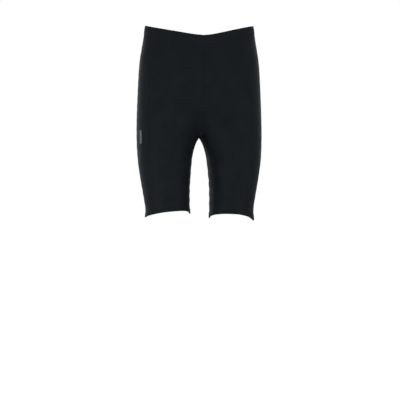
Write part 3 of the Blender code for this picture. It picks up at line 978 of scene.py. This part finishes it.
def even_shares(line, spacing):
    """Shares of the way along a line of points, spaced evenly by about spacing mm."""
    steps = np.linalg.norm(np.diff(line, axis=0), axis=1) / MM
    lengths = np.concatenate([[0.0], np.cumsum(steps)])
    count = int(lengths[-1] / spacing)
    middles = (np.arange(count) + 0.5) / count * lengths[-1]
    return np.interp(middles, lengths, np.linspace(0.0, 1.0, len(line)))


# %% Stitches along the bands
FINE = 2000


def band_row(band, height):
    """Even places along one stitch row of a band: centres, directions and normals."""
    shares = np.linspace(0.0, 1.0, 240)
    ups, outs = section_place(band.outline, band.height, shares)
    outer = outs > 0.15
    order = np.argsort(ups[outer])
    level = height / band.height
    out = float(np.interp(level, ups[outer][order], outs[outer][order]))

    def row_points(share):
        share = np.mod(share, 1.0)
        return ring_points(band, share, np.full(len(share), level), np.full(len(share), out))

    line, _ = row_points(np.linspace(0.0, 1.0, FINE))
    share = even_shares(line, NEEDLE_SPACING)
    centres, normals = row_points(share)
    ahead = row_points(share + 0.0005)[0] - row_points(share - 0.0005)[0]
    return centres + normals * 0.2 * MM, ahead, normals


sew("waistband_stitches", *band_row(WAISTBAND, BAND_STITCH), NEEDLE_LENGTH, "waistband")
for leg, band in HEM_BANDS.items():
    rows = [band_row(band, height) for height in HEM_STITCHES]
    places = [np.concatenate(columns) for columns in zip(*rows)]
    sew(f"hem_stitches_{leg}", *places, NEEDLE_LENGTH, "hem")


# %% Stitches along the seams
SEAM_EDGE = 2.2


def seam_line(seam, share, aside):
    """Points and normals on top of a seam's strip."""
    points, normals = seam_places(seam, share, np.full(len(share), aside))
    return points + normals * (SEAM_RISE + 0.1) * MM, normals


def seam_stitches(seam):
    """Both needle rows of a seam, and the looper threads that cross between them."""
    fine_line, _ = seam_line(seam, np.linspace(0.0, 1.0, 600), 0.0)
    share = even_shares(fine_line, NEEDLE_SPACING)
    rows = []
    for aside in (-SEAM_EDGE, SEAM_EDGE):
        centres, normals = seam_line(seam, share, aside)
        ahead = seam_line(seam, share + 0.0005, aside)[0] - seam_line(seam, share - 0.0005, aside)[0]
        rows.append((centres, ahead, normals))
    places = [np.concatenate(columns) for columns in zip(*rows)]
    sew(f"{seam.name}_needle", *places, NEEDLE_LENGTH, "jersey")
    share = even_shares(fine_line, CROSS_SPACING)
    centres, normals = seam_line(seam, share, 0.01)
    near = seam_line(seam, share, -SEAM_EDGE * 0.9)[0]
    far = seam_line(seam, share, SEAM_EDGE * 0.9)[0]
    down = seam_line(seam, share + 0.0005, 0.01)[0] - seam_line(seam, share - 0.0005, 0.01)[0]
    down /= np.linalg.norm(down, axis=1, keepdims=True)
    ahead = far - near + down * CROSS_SLANT * MM
    sew(f"{seam.name}_looper", centres, ahead, normals, SEAM_EDGE * 2.0, "jersey")


for seam in SEAMS:
    seam_stitches(seam)

# %% [markdown]
# ## Reflective bar
#
# A small grey transfer on the wearer's right outer thigh: a plain upright bar with round ends,
# pressed flat on the cloth.

# %% Reflective bar
BAR_HALF = 5.0
BAR_TOP = -286.0
BAR_BOTTOM = -326.0
BAR_ACROSS = 0.15


def make_bar():
    piece, across, down = flat_grid("reflective_bar", 14, 40)
    length = BAR_TOP - BAR_BOTTOM
    z = BAR_TOP - down * length
    past = np.maximum(np.abs(z - (BAR_TOP + BAR_BOTTOM) / 2.0) - (length / 2.0 - BAR_HALF), 0.0)
    reach = np.sqrt(np.maximum(BAR_HALF**2 - past**2, 0.3))
    arc = (across - 0.5) * 2.0 * reach
    places = BAR_ACROSS + arc / 240.0
    points, normals = surface("right", "front", z, places)
    points = points + normals * 0.75
    lay(piece, to_metres("right", points), np.stack([arc, z], axis=1) * MM)
    face_outward(piece, normals * [-1.0, 1.0, 1.0])
    apply_modifier(piece, "SOLIDIFY", thickness=0.3 * MM, offset=-1.0)
    finish_piece(piece, FILM)
    return piece


make_bar()

# %% [markdown]
# ## Cloth facts
#
# Stretched jersey covers more than its cut, and the bands are cut as long strips and folded.

# %% [markdown]
# ## Studio
#
# A white room with a pale floor. Black cloth is easily lit too much at its edges, so most of the
# light is the even light of the room. Two soft lights stand in front, and a low one at the left
# brings out a pale edge along that thigh. The floor glows only for the camera, so it stays white
# and still throws little light up under the crotch.

# %% Floor and light
FLOOR_GLOW = 0.9
ROOM_LIGHT = 0.66


def make_floor():
    deselect()
    bpy.ops.mesh.primitive_circle_add(vertices=96, radius=9.0, fill_type="NGON", location=(0.0, 0.0, -1.05))
    floor = bpy.context.object
    floor.name = "floor"
    material = bpy.data.materials.new("pale_floor")
    material.use_nodes = True
    tree = material.node_tree
    shader = tree.nodes["Principled BSDF"]
    shader.inputs["Base Color"].default_value = (0.45, 0.45, 0.45, 1.0)
    shader.inputs["Roughness"].default_value = 0.9
    rays = node(tree, "ShaderNodeLightPath")
    shader.inputs["Emission Color"].default_value = (1.0, 1.0, 1.0, 1.0)
    glow = node(tree, "ShaderNodeMath", operation="MULTIPLY")
    glow.inputs[1].default_value = FLOOR_GLOW
    tree.links.new(rays.outputs["Is Camera Ray"], glow.inputs[0])
    tree.links.new(glow.outputs[0], shader.inputs["Emission Strength"])
    floor.data.materials.append(material)


Light = namedtuple("Light", "name place size power")
LIGHTS = (
    Light("key", (-1.0, -2.5, 0.4), 1.6, 6.8),
    Light("fill", (1.6, -2.2, 0.2), 1.6, 8.5),
    Light("low_left", (-1.15, -0.75, -0.95), 0.5, 8.8),
    Light("low_right", (1.0, -0.95, -0.95), 0.5, 4.4),
    Light("under", (0.0, 0.3, -1.0), 0.4, 0.4),
    Light("back_left", (1.5, 2.3, 0.5), 1.6, 9.0),
    Light("back_right", (-1.3, 2.4, 0.2), 1.6, 7.0),
)


def make_lights():
    aim = Vector((0.0, 0.0, -0.25))
    for light in LIGHTS:
        data = bpy.data.lights.new(light.name, "AREA")
        data.size = light.size
        data.energy = light.power
        lamp = bpy.data.objects.new(light.name, data)
        lamp.location = light.place
        lamp.visible_camera = False
        lamp.rotation_euler = (aim - lamp.location).to_track_quat("-Z", "Y").to_euler()
        scene.collection.objects.link(lamp)


def make_world():
    """White behind the garment, and a dimmer even light on it."""
    world = bpy.data.worlds.new("studio")
    world.use_nodes = True
    tree = world.node_tree
    seen = tree.nodes["Background"]
    seen.inputs["Color"].default_value = (1.0, 1.0, 1.0, 1.0)
    seen.inputs["Strength"].default_value = 1.0
    lit = node(tree, "ShaderNodeBackground")
    lit.inputs["Strength"].default_value = ROOM_LIGHT
    rays = node(tree, "ShaderNodeLightPath")
    choose = node(tree, "ShaderNodeMixShader")
    tree.links.new(rays.outputs["Is Camera Ray"], choose.inputs["Fac"])
    tree.links.new(lit.outputs[0], choose.inputs[1])
    tree.links.new(seen.outputs[0], choose.inputs[2])
    tree.links.new(choose.outputs[0], tree.nodes["World Output"].inputs["Surface"])
    scene.world = world


make_floor()
make_lights()
make_world()
scene.view_settings.view_transform = "Standard"
